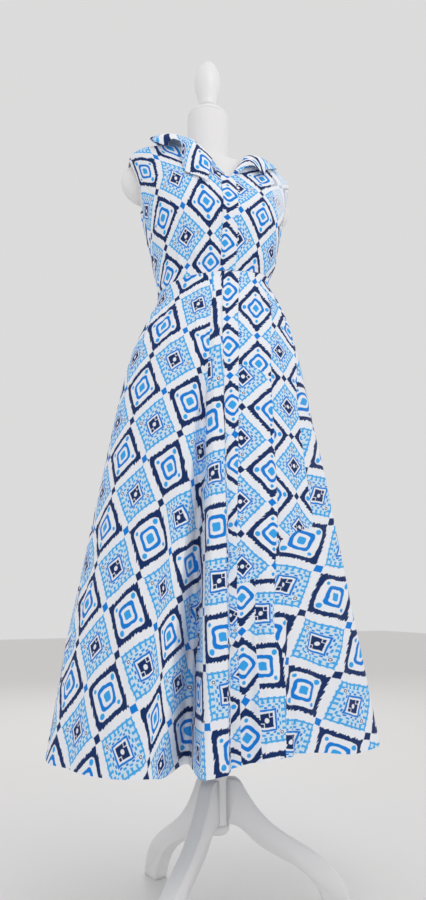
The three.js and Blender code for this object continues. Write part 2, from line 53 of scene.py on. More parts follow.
def addCamera(shot):
    turn, tilt, roll = (math.radians(shot[key]) for key in ("azimuth", "tilt", "roll"))
    ahead = Vector((-math.sin(turn), math.cos(turn), 0))
    right = Vector((math.cos(turn), math.sin(turn), 0))
    back = -(ahead * math.cos(tilt) + Vector((0, 0, math.sin(tilt))))
    up = back.cross(right)
    rolledRight = right * math.cos(roll) - up * math.sin(roll)
    rolledUp = up * math.cos(roll) + right * math.sin(roll)
    spot = -ahead * shot["distance"] + Vector((0, 0, shot["height"]))
    bpy.ops.object.camera_add(location=spot)
    camera = bpy.context.object
    camera.name = "photoCamera"
    turned = Matrix((rolledRight, rolledUp, back)).transposed().to_4x4()
    camera.matrix_world = Matrix.Translation(spot) @ turned
    camera.data.sensor_fit = "VERTICAL"
    camera.data.sensor_height = 36.0
    camera.data.lens = 36.0 * shot["focal"] / shot["frameHeight"]
    camera.data.shift_x = -shot["pushRight"] / shot["frameHeight"]
    bpy.context.scene.camera = camera


addCamera(photoCamera)
print("camera placed")


def softStep(t):
    t = np.clip(t, 0.0, 1.0)
    return t * t * (3 - 2 * t)


def blend(a, b, t):
    return a + (b - a) * t


def rowValue(rows, column, at, by="z"):
    # a value from a table, on a soft curve through its rows
    ordered = sorted(rows, key=lambda row: row[by])
    x = np.array([row[by] for row in ordered], float)
    y = np.array([row[column] for row in ordered], float)
    slope = np.empty_like(y)
    slope[0] = (y[1] - y[0]) / (x[1] - x[0])
    slope[-1] = (y[-1] - y[-2]) / (x[-1] - x[-2])
    slope[1:-1] = (y[2:] - y[:-2]) / (x[2:] - x[:-2])
    at = np.asarray(at, float)
    i = np.clip(np.searchsorted(x, at, side="left") - 1, 0, len(x) - 2)
    span = x[i + 1] - x[i]
    t = np.clip((at - x[i]) / span, 0, 1)
    return ((2 * t**3 - 3 * t**2 + 1) * y[i] + (t**3 - 2 * t**2 + t) * slope[i] * span
            + (3 * t**2 - 2 * t**3) * y[i + 1] + (t**3 - t**2) * slope[i + 1] * span)


def table(columns, *rows):
    # rows of values under the names of their columns
    return [dict(zip(columns.split(), row)) for row in rows]


def unit(vectors):
    return vectors / np.linalg.norm(vectors, axis=-1, keepdims=True)


def normalOf(surface, angle, z, turn=0.4, climb=1):
    # from the surface a little to each side, in degrees, and a little above and below, in mm
    along = surface(angle + turn, z) - surface(angle - turn, z)
    up = surface(angle, z + climb) - surface(angle, z - climb)
    return unit(np.cross(along, up))


# the form's and the dress's lines, in mm; angles round the body: 0 is the +X side, -90 the
# centre front, 90 the centre back
torsoRoundness = 2.3
torsoRows = table(
    "z half front back mid",
    (905, 158, 103, 110, 0), (912, 164, 108, 116, 0), (935, 167, 111, 119, 0),
    (1000, 168, 112, 122, 0), (1080, 143, 101, 103, 0), (1140, 118, 89, 85, 0),
    (1198, 110, 87, 79, 0), (1250, 121, 95, 83, 0), (1330, 144, 112, 92, 0),
    (1390, 160, 104, 98, 2), (1430, 172, 94, 96, 5), (1462, 180, 85, 90, 9),
    (1484, 179, 77, 82, 13), (1492, 158, 69, 74, 17), (1498, 128, 62, 66, 20),
    (1504, 97, 56, 58, 23), (1511, 68, 51, 52, 26), (1521, 51, 48, 48, 27),
    (1540, 47, 47, 47, 27), (1640, 47, 47, 47, 27),
)
shoulderCap = {"x": 150, "y": 25, "z": 1434, "radii": (51, 27, 49)}
easeRows = table(    # how far the bodice's outer face stands off the form
    "z off",
    (1160, 9), (1198, 8), (1238, 13), (1290, 10), (1331, 8), (1390, 5.5), (1430, 3.5), (1478, 6.4),
    (1500, 3.8), (1640, 3.5),
)
skirtRows = table(    # the skirt's outer face without its folds
    "z half front back",
    (1198, 120, 98, 88), (1150, 138, 110, 104), (1108, 157, 122, 121), (1072, 171, 133, 135),
    (1000, 189, 150, 152), (850, 216, 172, 176), (660, 246, 196, 201), (470, 280, 220, 226),
    (328, 303, 236, 238), (240, 316, 245, 247),
)
# the waist seam climbs to the wearer's left; its tilt fades out in the bodice and in the skirt
waist = {"z": 1198, "tilt": 0.24, "tiltEnds": 1330, "fadeUp": 1.4, "fadeDown": 2, "blend": 48}
# the hem's own tilt, and its rise at the front: where, how wide, and how late in the skirt
hem = {"z": 284, "tilt": 0.02, "rise": 22, "riseAt": -84, "riseWide": 34, "late": 1.5}
# the V opening, the neck's side and the dip behind; the shoulder seam's share of the neckline
neck = {"vX": 3, "vZ": 1408, "sideX": 67, "sideZ": 1511, "backDip": 9, "shoulder": 0.6}
shoulderTop = 1508.5
# the armholes: heights, depths in degrees, and the cut's shape: where it is deepest, how round
armhole = {"bottom": 1362, "top": 1484, "front": 6, "back": 36, "lean": 0.9, "round": 0.7}
# the placket's band: how far it laps past the slit, and how far it ends from the waist seam and
# under the V
band = {"width": 32, "lap": 10, "seamClear": 1.6, "underV": 1}
slitTurn = 0.1                  # degrees, half of the slit between the skirt's fronts
clothWall = 2.0                 # the solids' wall
clothGap = 0.4                  # between the solids
clothThick = 0.9                # cotton with its turned edges, as it shows

# folds of the skirt, named as seen from the front: the angle at their top and at the hem, the
# height where they start, how far they stand out at the hem, and their widths in degrees at the
# top and the hem: half of the crest, the flank towards -angle and the one towards +angle
foldRows = table(
    "name top hem start out crest low high",
    ("valleyByPlacket", -111, -115.4, 1010, -92, (0.4, 0.8), (3, 6), (3, 4.4)),
    ("ridgeByPlacket", -103, -106.2, 1190, 30, (2, 2.6), (1.6, 4), (1.6, 2.2)),
    ("broadRightRidge", -80, -88, 1000, 16, (2, 3.5), (4, 5), (3, 3.2)),
    ("rightHollow", -58, -66, 900, -12, (0, 0), (8, 12), (8, 12)),
    ("rightSideRidge", -32, -38, 860, 11, (0, 0), (10, 15), (10, 15)),
    ("leftBulge", -138, -135, 820, 9, (0, 2), (12, 16), (8, 11)),
    ("leftHollow", -160, -162, 780, -10, (0, 0), (8, 12), (8, 13)),
    ("backHollowA", 26, 22, 900, -24, (0, 0), (9, 12), (8, 11)),
    ("backRidgeA", 44, 42, 960, 16, (0, 1), (8, 11), (8, 12)),
    ("backHollowB", 66, 64, 840, -26, (0, 0), (8, 11), (9, 12)),
    ("backRidgeB", 88, 87, 1010, 20, (1, 2), (9, 12), (8, 11)),
    ("backHollowC", 108, 110, 930, -30, (0, 0), (8, 11), (9, 12)),
    ("backRidgeC", 130, 133, 800, 15, (0, 1), (9, 12), (8, 11)),
    ("backHollowD", 152, 156, 890, -20, (0, 0), (8, 11), (8, 12)),
)
placketEdgeRows = table(    # the placket's free edge on the skirt
    "z angle",
    (1198, -80), (1070, -89), (780, -95.2), (550, -98.1), (375, -98.4), (240, -98.6),
)
# the collar's roll by the neck: its share of the depth, its mm off the bodice; the dome's shape
collarRoll = {"wide": 0.3, "off": 2.1, "round": 1.3}
# the collar's halves, from the front end to the centre back: how far along the neckline, the
# angle from the side and the height of the outer edge, how late it falls towards that edge, how
# high the edge and the middle stand off the bodice, and how high the roll by the neck stands
collarLeaf = {
    "right": table(
        "at edge z fall lift dome roll",
        (0.26, -75, 1380, 1, 3, 0, 3), (0.34, -69, 1391, 1, 3, 1, 6),
        (0.42, -60, 1404, 1.1, 3, 2, 8), (0.48, -60, 1438, 1.4, 5, 3, 9),
        (0.53, -62, 1468, 1.8, 14, 2, 9), (0.58, -57, 1473, 2.2, 20, 2, 8),
        (0.63, -53, 1470, 2.4, 17, 2, 8), (0.68, -50, 1464, 2.4, 12, 3, 8),
        (0.72, -42, 1484, 2.4, 8, 3, 8), (0.77, -20, 1500, 2.2, 5, 3, 8),
        (0.83, 20, 1502, 2, 5, 4, 9), (0.9, 56, 1488, 1.6, 5, 4, 10),
        (1, 90, 1458, 1.2, 4, 4, 12),
    ),
    "left": table(
        "at edge z fall lift dome roll",
        (0.1, -84, 1420, 1, 5, 1, 2), (0.2, -79, 1441, 1, 10, 2, 4),
        (0.3, -73, 1447, 1.1, 12, 3, 6), (0.42, -65, 1435, 1.2, 8, 3, 5),
        (0.52, -60, 1462, 1.6, 6, 3, 5), (0.62, -36, 1490, 2.2, 5, 3, 6),
        (0.72, 14, 1502, 2.2, 5, 4, 9), (0.88, 56, 1488, 1.6, 5, 4, 10),
        (1, 90, 1458, 1.2, 4, 4, 12),
    ),
}


def bend(value, strength):
    return np.sign(value) * np.abs(value) ** strength


def torsoPoint(angle, z):
    c = bend(np.cos(np.radians(angle)), 2 / torsoRoundness)
    s = bend(np.sin(np.radians(angle)), 2 / torsoRoundness)
    depth = np.where(s < 0, rowValue(torsoRows, "front", z), rowValue(torsoRows, "back", z))
    return np.stack([rowValue(torsoRows, "half", z) * c, rowValue(torsoRows, "mid", z) + depth * s,
                     z + 0 * c], -1)


def waistShift(x, z):
    share = np.clip((waist["tiltEnds"] - z) / (waist["tiltEnds"] - waist["z"]), 0, 1)
    return waist["tilt"] * x * share ** waist["fadeUp"]


def bodicePoint(angle, z):
    x = rowValue(torsoRows, "half", z) * np.cos(np.radians(angle))
    height = z + waistShift(x, z)
    off = rowValue(easeRows, "off", z)
    return torsoPoint(angle, height) + normalOf(torsoPoint, angle, height) * off[..., None]


def foldShape(angle, z):
    out = np.zeros(np.broadcast(angle, z).shape)
    for fold in foldRows:
        grown = np.clip((fold["start"] - z) / (fold["start"] - hem["z"]), 0, 1)
        centre = blend(fold["top"], fold["hem"], grown)
        crest, low, high = (blend(*fold[key], grown) for key in ("crest", "low", "high"))
        inside = (softStep((angle - centre + crest + low) / low)
                  * softStep((centre + crest + high - angle) / high))
        out += fold["out"] * grown * inside
    return out


def skirtPoint(angle, z):
    c, s = np.cos(np.radians(angle)), np.sin(np.radians(angle))
    half = rowValue(skirtRows, "half", z)
    depth = np.where(s < 0, rowValue(skirtRows, "front", z), rowValue(skirtRows, "back", z))
    down = np.clip((waist["z"] - z) / (waist["z"] - hem["z"]), 0, 1)
    x = half * c
    near = np.clip(np.abs(angle - hem["riseAt"]) / hem["riseWide"], 0, 1)
    hemShift = hem["tilt"] * x + hem["rise"] * np.cos(near * math.pi / 2) ** 2
    height = (z + waistShift(x, waist["z"]) * (1 - down) ** waist["fadeDown"]
              + hemShift * down ** hem["late"])
    outward = unit(np.stack([c / half, s / depth, 0 * c], -1))
    ring = np.stack([x, depth * s, height], -1) + outward * foldShape(angle, z)[..., None]
    seam = bodicePoint(angle, np.full_like(z, waist["z"], dtype=float))
    seam[..., 2] -= waist["z"] - z
    return blend(seam, ring, softStep((waist["z"] - z) / waist["blend"])[..., None])


def angleAt(x, z):
    half = rowValue(torsoRows, "half", z) + clothWall
    return np.degrees(np.arccos(bend(np.clip(x / half, -1, 1), torsoRoundness / 2)))


def neckX(z):
    t = np.clip((z - neck["vZ"]) / (neck["sideZ"] - neck["vZ"]), 0, 1)
    return blend(neck["vX"], neck["sideX"], t)


def armholeCut(z, depth):
    s = np.clip((z - armhole["bottom"]) / (armhole["top"] - armhole["bottom"]), 0, 1)
    return depth * np.sin(math.pi * s ** armhole["lean"]).clip(0) ** armhole["round"]


def backPoint(angle, z):
    t = (z - armhole["top"]) / (neck["sideZ"] - armhole["top"])
    dip = neck["backDip"] * np.sin(np.radians(angle)) ** 2 * softStep(t)
    return bodicePoint(angle, z - dip)


def placketEdge(z):
    return rowValue(placketEdgeRows, "angle", z)


def meetAngle(z):
    reach = (rowValue(skirtRows, "half", z) + rowValue(skirtRows, "front", z)) / 2
    return placketEdge(z) - np.degrees(band["lap"] / reach)


def necklineAt(t):
    # from the V (0) over the shoulder seam to the centre back (1)
    frontZ = blend(neck["vZ"], neck["sideZ"], np.clip(t / neck["shoulder"], 0, 1))
    backAngle = 90 * (t - neck["shoulder"]) / (1 - neck["shoulder"])
    backZ = neck["sideZ"] - neck["backDip"] * np.sin(np.radians(backAngle)) ** 2
    isFront = t < neck["shoulder"]
    return (np.where(isFront, -angleAt(neckX(frontZ), frontZ), backAngle),
            np.where(isFront, frontZ, backZ))


def collarPoint(side, t, across):
    rows = collarLeaf["left" if side > 0 else "right"]
    at = blend(rows[0]["at"], 1, t)
    edge, edgeZ, fall, lift, dome, roll = (rowValue(rows, key, at, "at") for key in
                                           ("edge", "z", "fall", "lift", "dome", "roll"))
    neckAngle, neckZ = necklineAt(at)
    angle = blend(neckAngle, edge, across)
    z = blend(neckZ, edgeZ, across ** fall)
    wide = collarRoll["wide"]
    rise = (np.sin(np.clip(across / wide, 0, 1) * math.pi / 2)
            * (1 - softStep((across - wide) / (1 - wide))))
    high = (clothWall + clothGap + collarRoll["off"] + roll * rise
            + dome * np.sin(math.pi * across).clip(0) ** collarRoll["round"]
            + (lift - clothWall - clothGap) * softStep(across))
    points = bodicePoint(angle, z) + normalOf(bodicePoint, angle, z) * high[..., None]
    points[..., 0] *= side
    return points


def profile(distance, wide):
    # a soft ridge that may fall off faster on one side
    left, right = wide if isinstance(wide, tuple) else (wide, wide)
    return np.exp(-(distance / np.where(distance < 0, left, right)) ** 2)


lineFade = 0.35         # the share of a straight crease that fades at each end


def creaseShift(creases, angle, z, reach):
    # a crease is a straight line on the cloth, or a path of heights and angles that fades over
    # some mm of height; reach is the cloth's usual distance from the pole
    out = np.zeros(np.broadcast(angle, z).shape)
    x = np.radians(angle) * reach
    for row in creases:
        if "path" in row:
            steps = sorted(row["path"])
            heights = np.array([step[0] for step in steps], float)
            at = np.interp(z, heights, [step[1] for step in steps])
            across = np.radians(angle - at) * reach
            ends = (softStep((z - heights[0]) / row["fade"])
                    * softStep((heights[-1] - z) / row["fade"]))
        else:
            (fromAngle, fromZ), (toAngle, toZ) = row["line"]
            x0, x1 = math.radians(fromAngle) * reach, math.radians(toAngle) * reach
            length = np.hypot(x1 - x0, toZ - fromZ)
            along = ((x - x0) * (x1 - x0) + (z - fromZ) * (toZ - fromZ)) / length**2
            across = ((x - x0) * (toZ - fromZ) - (z - fromZ) * (x1 - x0)) / length
            across = across - row["bow"] * 4 * along * (1 - along)
            ends = softStep(along / lineFade) * softStep((1 - along) / lineFade)
        out += row["out"] * profile(across, row["wide"]) * ends
    return out


def gridPiece(name, columns, rows):
    bpy.ops.object.select_all(action="DESELECT")
    bpy.ops.mesh.primitive_grid_add(x_subdivisions=columns, y_subdivisions=rows, size=1)
    piece = bpy.context.object
    piece.name = name
    piece.data.name = name
    return piece


def flatCut(points, flare, start, radius):
    # the panel laid flat: rows become arcs round the point where its sides would meet, measured
    # from one of its columns
    column = round(start * (points.shape[1] - 1))
    steps = np.linalg.norm(np.diff(points, axis=1), axis=-1)
    arc = np.concatenate([np.zeros((points.shape[0], 1)), np.cumsum(steps, axis=1)], 1)
    arc -= arc[:, column:column + 1]
    climb = np.linalg.norm(np.diff(points[:, column], axis=0), axis=-1)
    length = np.concatenate([[0], np.cumsum(climb)])
    if flare == "down":
        reach = radius + (length[-1] - length)[:, None]
        turn = arc / reach
        return np.stack([reach * np.sin(turn), radius - reach * np.cos(turn)], -1)
    reach = radius + length[:, None]
    turn = arc / reach
    return np.stack([reach * np.sin(turn), reach * np.cos(turn) - radius], -1)


def onBolt(points, flare, place):
    # where this part of the piece was cut from the cloth: u and v in mm, from the terms 1, x, y,
    # x*x, x*y and y*y of its place on the flat piece in hundreds of mm
    flat = flatCut(points, flare, place["from"], place["radius"])
    x, y = flat[..., 0] / 100, flat[..., 1] / 100
    terms = np.stack([x**0, x, y, x * x, x * y, y * y], -1)
    return np.stack([terms @ np.array(place["u"]), terms @ np.array(place["v"])], -1) / 1000


def panelGrid(plan):
    # points of a panel's outer face with their angles and heights, without its creases
    columns, rows = plan["grid"]
    s = np.linspace(0, 1, columns + 1)[None, :]
    if "leaf" in plan:
        across = np.linspace(1, 0, rows + 1)[:, None]
        points = plan["leaf"](s + 0 * across, across + 0 * s)
        along = np.gradient(points, axis=1)
        up = np.gradient(points, axis=0)
        return points, unit(np.cross(along, up)), s + 0 * across, across + 0 * s
    z = np.linspace(plan["low"], plan["high"], rows + 1)[:, None]
    angle = plan["angles"](s, z)
    z = np.broadcast_to(z, angle.shape).copy()
    normals = normalOf(plan["surface"], angle, z)
    points = plan["surface"](angle, z) + normals * plan.get("lift", 0)
    return points, normals, angle, z


regionFade = 150        # mm of height over which one placing passes into another
smoothUnder = {"cloth": 60, "jersey": 50, "wood": 38}       # degrees


def clothCut(plan, points, angle, z, faceCorners, middles):
    # where each corner of each face was cut from the bolt, by the placing of the face's region; a
    # placing may pass into another between two angles, or between two shares of the collar
    region = np.zeros(len(faceCorners), int)
    if "regions" in plan:
        region = plan["regions"](*middles)
    cut = np.empty((len(faceCorners), 4, 2))
    for number, place in enumerate(plan["bolt"]):
        laid = onBolt(points, plan["flare"], place)
        if "into" in place:
            after = place["into"]
            first, last = after["between"]
            share = softStep((angle - first) / (last - first))
            if "below" in after:
                share = share * softStep((after["below"] - z) / regionFade)
            laid = blend(laid, onBolt(points, plan["flare"], after), share[..., None])
        here = faceCorners[region == number]
        cut[region == number] = laid.reshape(-1, 2)[here]
    return cut


def clothPanel(plan):
    piece = gridPiece(plan["name"], *plan["grid"])
    mesh = piece.data
    points, normals, angle, z = panelGrid(plan)
    shaped = points
    if "creases" in plan:
        shift = creaseShift(plan["creases"], angle, z, plan["reach"])
        shaped = points + normals * shift[..., None]
    mesh.vertices.foreach_set("co", (shaped.reshape(-1, 3) / 1000).ravel())
    mesh.materials.append(printedCotton)
    mesh.materials.append(printedCottonReverse)
    corner = np.empty(len(mesh.loops), int)
    mesh.loops.foreach_get("vertex_index", corner)
    faceCorners = corner.reshape(-1, 4)
    middles = [values.ravel()[faceCorners].mean(1) for values in (angle, z)]
    if "wrongSide" in plan:
        mesh.polygons.foreach_set("material_index", plan["wrongSide"](*middles).astype(int))
    layer = mesh.uv_layers.active
    layer.name = "clothCut"
    layer.data.foreach_set("uv", clothCut(plan, points, angle, z, faceCorners, middles).ravel())
    mesh.update()
    thicken = piece.modifiers.new("wall", "SOLIDIFY")
    thicken.thickness = clothThick / 1000
    thicken.offset = -1
    thicken.material_offset = 1
    bpy.ops.object.modifier_apply(modifier=thicken.name)
    bpy.ops.object.shade_smooth_by_angle(angle=math.radians(smoothUnder["cloth"]))
    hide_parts(plan["node"])
    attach(piece, "root")
    print("cut and hung", plan["name"])


def fromHex(code):
    # sRGB hex to the linear colour that a shader reads
    parts = [int(code[i:i + 2], 16) / 255 for i in (1, 3, 5)]
    linear = [part / 12.92 if part <= 0.04045 else ((part + 0.055) / 1.055) ** 2.4
              for part in parts]
    return (*linear, 1.0)


def addNode(tree, kind, *inputs, result=0, **settings):
    # a node with its settings, and its inputs in order: a number, a colour or another node's
    # output; a node's operation stands after its kind
    kind, _, operation = kind.partition(" ")
    made = tree.nodes.new("ShaderNode" + kind)
    if operation:
        made.operation = operation
    for setting, value in settings.items():
        setattr(made, setting, value)
    for place, value in enumerate(inputs):
        if isinstance(value, bpy.types.NodeSocket):
            tree.links.new(value, made.inputs[place])
        elif value is not None:
            made.inputs[place].default_value = value
    return made.outputs[result]


def newMaterial(name, sockets):
    # sockets holds what is the same all over the surface
    material = bpy.data.materials.new(name)
    material.use_nodes = True
    tree = material.node_tree
    shader = tree.nodes["Principled BSDF"]
    for socket, value in sockets.items():
        shader.inputs[socket].default_value = value
    return material, tree, shader


# cotton poplin: a flat, closely woven cloth, dull, with a faint bloom where it turns away; a
# lattice of framed and hooked squares is printed on its right side and shows weakly behind
clothPrint = {
    "cell": 82.0,                   # mm from one crossing of the lattice to the next
    "ground": "#F3F6FC",
    "navy": "#0A2E66",
    "blue": "#0082E0",
    "sky": "#36AAF3",
    "pale": "#46B0F3",
    "tint": "#D6EBFA",
    "bleed": 0.012,                 # softness of the ink's edges, in cells, as all that follows
    "drift": 0.05,                  # how far the print wanders, and how often in a cell
    "driftsPerCell": 3.2,
    "wobble": 0.02,                 # how unsteady its outlines are, and how often
    "wobblesPerCell": 9.0,
    "strokesAcross": (25.0, -11.0),     # the woven-look edges: short strokes along a lean
    "strokesAlong": (1.6, 3.2),
    "feather": (0.035, 0.11),       # how far they reach at the frame's inner and outer edge
    "frame": (0.33, 0.424),         # inner and outer edges, from the middle of the cell
    "frameRound": 7.0,              # 2 is a circle, more is squarer
    "loop": (0.146, 0.214),
    "loopRound": 4.5,
    "loopWobble": 0.035,
    "heart": 0.084,
    "heartRound": 5.0,
    "heartWobble": 0.03,
    "dotAt": 0.24,
    "dot": 0.038,
    "dotMore": 0.016,               # two of the four dots are bigger
    "outline": (0.372, 0.408),
    "combFoot": 0.4,                # combs that stand in from the outline
    "combs": 8.5,
    "combLean": 2.0,
    "stem": 0.19,                   # widths of stems, hooks and specks are shares of a comb's step
    "stemLong": 0.098,
    "hook": (0.066, 0.1),
    "hookSide": (-0.1, 0.3),
    "stepBleed": 0.1,
    "specks": 7.0,                  # two rows of specks: the place, the half height and the width
    "outerSpecks": (0.137, 0.019, 0.24),
    "innerSpecks": (0.178, 0.017, 0.3),
    "middleLine": (0.16, 0.196),
    "block": 0.126,
    "blockHole": 0.045,
    "blockSplit": (0.047, 0.062),
    "ringAt": (0.29, 0.24),
    "ring": (0.018, 0.034),
    "ringGround": 0.05,
    "crossing": 0.068,              # the small squares where four cells meet
    "tinted": (0.165, 0.395),
    "hooksEnd": 0.42,
    "ribs": 1.1,            # mm, the weave's ribs, drawn coarser than real ones so that they show
    "ribStrength": 0.08,
    "ribDepth": 0.0004,     # metres
    "heldBack": 0.62,       # the ink's share that doesn't come through to the wrong side
}
poplin = {"Roughness": 0.8, "Specular IOR Level": 0.25, "IOR": 1.5, "Sheen Weight": 0.04,
          "Sheen Roughness": 0.5}


def makePrintedCotton(name, look, faded=0.0):
    material, tree, shader = newMaterial(name, poplin)
    add = partial(addNode, tree)

    def within(distance, edge, soft=look["bleed"]):
        # 1 where the distance is under the edge
        return add("Math MULTIPLY_ADD", add("Math SUBTRACT", edge, distance), 1 / soft, 0.5,
                   use_clamp=True)

    def both(a, b):
        return add("Math MULTIPLY", a, b)

    def without(mask):
        return add("Math SUBTRACT", 1.0, mask)

    def between(distance, low, high, soft=look["bleed"]):
        return both(within(distance, high, soft), without(within(distance, low, soft)))

    def isOdd(a, b):
        half = add("Math MULTIPLY", add("Math ADD", a, b), 0.5)
        return add("Math GREATER_THAN", add("Math FRACT", half), 0.25)

    def shifted(value, amount, base):
        return add("Math MULTIPLY_ADD", value, amount, base)

    def roundSquare(power):
        total = add("Math ADD", add("Math POWER", wideX, power), add("Math POWER", wideY, power))
        return add("Math POWER", total, 1 / power)

    def reachOf(acrossX, acrossY):
        return add("Math SQRT", add("Math ADD", both(acrossX, acrossX), both(acrossY, acrossY)))

    def fromMiddle(value):
        return add("Math SUBTRACT", value, 0.5)

    def printedOver(colour, mask, shade):
        # the mixer's sockets before its colours are for numbers and vectors
        return add("Mix", mask, *[None] * 5, colour, fromHex(look[shade]), data_type="RGBA",
                   result=2)

    # the place on the cloth in cells, a little unsteady
    cut = add("UVMap", uv_map="clothCut")
    cells = add("VectorMath MULTIPLY", cut, (1000 / look["cell"],) * 3)
    drift = add("TexNoise", cells, None, look["driftsPerCell"], 2.0, result="Color")
    drift = add("VectorMath SUBTRACT", drift, (0.5, 0.5, 0.5))
    drift = add("VectorMath MULTIPLY", drift, (look["drift"], look["drift"], 0))
    grid = add("VectorMath ADD", cells, drift)
    p, q, _ = add("SeparateXYZ", grid).node.outputs
    x, y = fromMiddle(add("Math FRACT", p)), fromMiddle(add("Math FRACT", q))
    wideX, wideY = add("Math ABSOLUTE", x), add("Math ABSOLUTE", y)
    square, sideways = add("Math MAXIMUM", wideX, wideY), add("Math MINIMUM", wideX, wideY)
    hookCell = isOdd(add("Math FLOOR", p), add("Math FLOOR", q))
    frameCell = without(hookCell)
    sameSide = add("Math GREATER_THAN", both(x, y), 0.0)

    strokePlace = [shifted(p, alongP, both(q, alongQ))
                   for alongP, alongQ in (look["strokesAcross"], look["strokesAlong"])]
    strokes = fromMiddle(add("TexNoise", add("CombineXYZ", *strokePlace), None, 1.0, 1.0))
    wobble = fromMiddle(add("TexNoise", grid, None, look["wobblesPerCell"], 1.0))
    wavySquare = shifted(wobble, look["wobble"], square)

    # the framed cell
    innerFeather, outerFeather = look["feather"]
    innerEdge = shifted(strokes, innerFeather, roundSquare(look["frameRound"]))
    outerEdge = shifted(strokes, outerFeather, square)
    innerFrame, outerFrame = look["frame"]
    frameInk = both(within(outerEdge, outerFrame), without(within(innerEdge, innerFrame)))
    loop = shifted(wobble, look["loopWobble"], roundSquare(look["loopRound"]))
    loopInk = between(loop, *look["loop"])
    heart = shifted(wobble, look["heartWobble"], roundSquare(look["heartRound"]))
    heartInk = within(heart, look["heart"])
    dotPlace = [add("Math SUBTRACT", wide, look["dotAt"]) for wide in (wideX, wideY)]
    dotInk = within(reachOf(*dotPlace), shifted(sameSide, look["dotMore"], look["dot"]))

    # the hooked cell: combs that stand in from its outline, and specks round the middle square
    inward = add("Math SUBTRACT", look["combFoot"], wavySquare)
    combStep = add("Math ADD", add("Math MULTIPLY", sideways, look["combs"]),
                   add("Math MULTIPLY", inward, look["combLean"]))
    combSide = fromMiddle(add("Math FRACT", combStep))
    stems = both(within(add("Math ABSOLUTE", combSide), look["stem"], look["stepBleed"]),
                 within(inward, look["stemLong"]))
    hooks = both(between(inward, *look["hook"]),
                 between(combSide, *look["hookSide"], look["stepBleed"]))
    hookInk = add("Math MAXIMUM", between(wavySquare, *look["outline"]),
                  add("Math MAXIMUM", stems, hooks))
    hookInk = both(hookInk, within(square, look["hooksEnd"]))
    speckStep = add("Math FRACT", add("Math MULTIPLY", sideways, look["specks"]))
    speckSide = add("Math ABSOLUTE", fromMiddle(speckStep))

    def speckRow(place, half):
        return within(add("Math ABSOLUTE", add("Math SUBTRACT", inward, place)), half)

    place, half, wide = look["outerSpecks"]
    outerSpecks = both(speckRow(place, half), within(speckSide, wide, look["stepBleed"]))
    place, half, wide = look["innerSpecks"]
    innerSpecks = both(speckRow(place, half), without(within(speckSide, wide, look["stepBleed"])))
    splits = [between(wide, *look["blockSplit"]) for wide in (wideX, wideY)]
    corner = add("Math GREATER_THAN", sideways, look["blockSplit"][0])
    split = both(both(add("Math MAXIMUM", *splits), corner), sameSide)
    blockInk = both(both(within(wavySquare, look["block"]), without(split)),
                    without(within(reachOf(x, y), look["blockHole"])))
    ringPlace = [add("Math SUBTRACT", wide, at) for wide, at in zip((wideX, wideY), look["ringAt"])]
    ringReach = reachOf(*ringPlace)
    ringInk = both(between(ringReach, *look["ring"]), without(sameSide))
    ringHole = both(within(ringReach, look["ringGround"]), without(sameSide))

    # small squares where four cells meet, navy and blue in turn
    crossing = shifted(wobble, look["wobble"], add("Math SUBTRACT", 0.5, sideways))
    crossingInk = within(crossing, look["crossing"])
    blueCrossing = isOdd(add("Math ROUND", p), add("Math ROUND", q))

    printings = [       # in the order of printing: where, the ink's shape and its colour
        (hookCell, between(wavySquare, *look["tinted"]), "tint"), (hookCell, hookInk, "pale"),
        (hookCell, outerSpecks, "sky"), (hookCell, innerSpecks, "blue"),
        (hookCell, ringHole, "ground"), (hookCell, ringInk, "navy"),
        (hookCell, between(wavySquare, *look["middleLine"]), "blue"), (hookCell, blockInk, "navy"),
        (frameCell, frameInk, "navy"), (frameCell, loopInk, "blue"),
        (frameCell, heartInk, "sky"), (frameCell, dotInk, "sky"),
        (without(blueCrossing), crossingInk, "navy"), (blueCrossing, crossingInk, "blue"),
    ]
    colour = fromHex(look["ground"])
    for where, ink, shade in printings:
        colour = printedOver(colour, both(ink, where), shade)
    if faded:
        colour = printedOver(colour, faded, "ground")
    tree.links.new(colour, shader.inputs["Base Color"])

    threads = add("VectorMath MULTIPLY", cut, (1000 / look["ribs"],) * 3)
    weave = add("TexNoise", threads, None, 1.0, 1.0)
    bump = add("Bump", look["ribStrength"], look["ribDepth"], None, weave)
    tree.links.new(bump, shader.inputs["Normal"])
    return material


printedCotton = makePrintedCotton("printedCottonPoplin", clothPrint)
printedCottonReverse = makePrintedCotton("printedCottonWrongSide", clothPrint,
                                         faded=clothPrint["heldBack"])


# satin paint on turned beech: smooth, with a broad soft highlight and faint brush marks
satin = {"Base Color": fromHex("#EFEFF0"), "Roughness": 0.32}
brushMarks = {"across": 8.3, "along": 71, "strength": 0.05, "depth": 0.0006}    # mm, mm; metres


def makeSatinPaint(marks):
    material, tree, shader = newMaterial("satinWhitePaint", satin)
    place = addNode(tree, "TexCoord", result="Object")
    scale = (1000 / marks["across"], 1000 / marks["across"], 1000 / marks["along"])
    stretched = addNode(tree, "Mapping", place, None, None, scale)
    brush = addNode(tree, "TexNoise", stretched, None, 1.0, 2.0)
    bump = addNode(tree, "Bump", marks["strength"], marks["depth"], None, brush)
    tree.links.new(bump, shader.inputs["Normal"])
    return material


# knitted cotton jersey pulled over foam: dull and even, with fine wales
jersey = {"Base Color": fromHex("#EDECEC"), "Roughness": 0.85, "Sheen Weight": 0.2}
wales = {"apart": 1.43, "strength": 0.12, "depth": 0.0005}      # mm; metres


def makeJersey(knit):
    material, tree, shader = newMaterial("whiteJerseyCover", jersey)
    place = addNode(tree, "TexCoord", result="Object")
    loops = addNode(tree, "TexNoise", place, None, 1000 / knit["apart"], 1.0)
    bump = addNode(tree, "Bump", knit["strength"], knit["depth"], None, loops)
    tree.links.new(bump, shader.inputs["Normal"])
    return material


